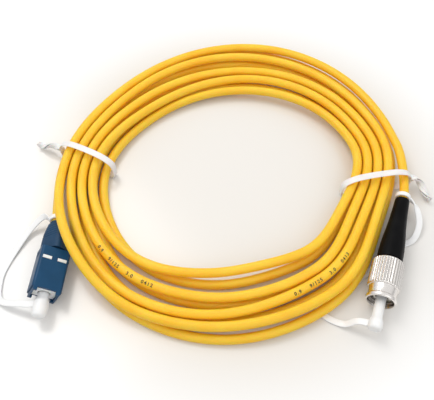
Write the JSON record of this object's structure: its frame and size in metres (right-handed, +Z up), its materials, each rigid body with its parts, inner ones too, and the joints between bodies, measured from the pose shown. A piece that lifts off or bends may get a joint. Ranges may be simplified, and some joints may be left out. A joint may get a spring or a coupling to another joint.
{
  "type": "fiber optic patch cord",
  "caption": "Simplex optical cable wound into a flat coil, with a square push-pull plug on one end and a knurled screw-on plug on the other, both capped and held by wire ties.",
  "frame": {"origin": "middle of the coil, on the surface it lies on", "axes": "+X to the right towards the screw-on plug, +Y away from the plugs' tips, +Z up"},
  "size_m": [0.1386, 0.1188, 0.0113],
  "materials": {
    "jacket": "yellow PVC jacket, satin",
    "blue_plastic": "dark blue moulded plastic, semi-gloss",
    "white_print": "white moulded bars",
    "frame_plastic": "white moulded plastic",
    "zirconia": "polished white ceramic",
    "nickel": "turned, nickel plated",
    "nut_nickel": "nickel plated brass, straight knurl",
    "spring_steel": "drawn stainless wire",
    "sleeve_metal": "plated crimp sleeve",
    "aramid": "aramid yarn",
    "buffer_plastic": "ivory tight buffer",
    "glass_fibre": "bare glass fibre",
    "blue_rubber": "dark blue soft moulding",
    "black_rubber": "black soft moulding",
    "cap_plastic": "milky soft plastic",
    "strap_plastic": "milky soft plastic",
    "tie_plastic": "white flat plastic coat",
    "tie_steel": "annealed steel wire"
  },
  "bodies": {
    "cord": {"cable_coil": "jacket", "cable_lead_sc": "jacket", "cable_lead_fc": "jacket", "sc_plug_frame": "frame_plastic", "sc_spring": "spring_steel", "sc_stop_ring": "nickel", "sc_crimp_sleeve": "sleeve_metal", "sc_yarn": "aramid", "sc_buffer": "buffer_plastic", "sc_boot": "blue_rubber", "sc_cap_strap": "strap_plastic", "fc_plug_frame": "nickel", "fc_retaining_clip": "spring_steel", "fc_spring": "spring_steel", "fc_stop_ring": "nickel", "fc_crimp_sleeve": "sleeve_metal", "fc_yarn": "aramid", "fc_buffer": "buffer_plastic", "fc_boot": "black_rubber", "fc_cap_strap": "strap_plastic", "left_tie_band": "tie_plastic", "left_tie_wire": "tie_steel", "right_tie_band": "tie_plastic", "right_tie_wire": "tie_steel"},
    "sc_grip": {"sc_grip": "blue_plastic", "sc_position_bars": "white_print"},
    "sc_ferrule": {"sc_ferrule": "zirconia", "sc_ferrule_flange": "nickel", "sc_fibre": "glass_fibre"},
    "sc_cap": {"sc_dust_cap": "cap_plastic"},
    "fc_nut": {"fc_coupling_nut": "nut_nickel"},
    "fc_ferrule": {"fc_ferrule": "zirconia", "fc_ferrule_flange": "nickel", "fc_fibre": "glass_fibre"},
    "fc_cap": {"fc_dust_cap": "cap_plastic"}
  },
  "joints": [
    {"name": "sc_grip_slide", "type": "slide", "parent": "cord", "child": "sc_grip", "axis": [-0.0785, -0.9969, 0], "range_m": [0, 0.0013]},
    {"name": "sc_ferrule_float", "type": "slide", "parent": "cord", "child": "sc_ferrule", "axis": [-0.0785, -0.9969, 0], "range_m": [-0.0008, 0], "stiffness_N_per_m": 1000, "springref_m": 0.001, "deforming": ["sc_spring", "sc_buffer"]},
    {"name": "sc_cap_pull", "type": "slide", "parent": "cord", "child": "sc_cap", "axis": [-0.0785, -0.9969, 0], "range_m": [0, 0.012], "deforming": ["sc_cap_strap"]},
    {"name": "fc_nut_spin", "type": "hinge", "parent": "cord", "child": "fc_nut", "pos_m": [0.04527, -0.03934, 0.0049], "axis": [-0.3256, -0.9455, 0], "continuous": true},
    {"name": "fc_ferrule_float", "type": "slide", "parent": "cord", "child": "fc_ferrule", "axis": [-0.3256, -0.9455, 0], "range_m": [-0.0008, 0], "stiffness_N_per_m": 1000, "springref_m": 0.001, "deforming": ["fc_spring", "fc_buffer"]},
    {"name": "fc_cap_pull", "type": "slide", "parent": "cord", "child": "fc_cap", "axis": [-0.3256, -0.9455, 0], "range_m": [0, 0.012], "deforming": ["fc_cap_strap"]}
  ]
}
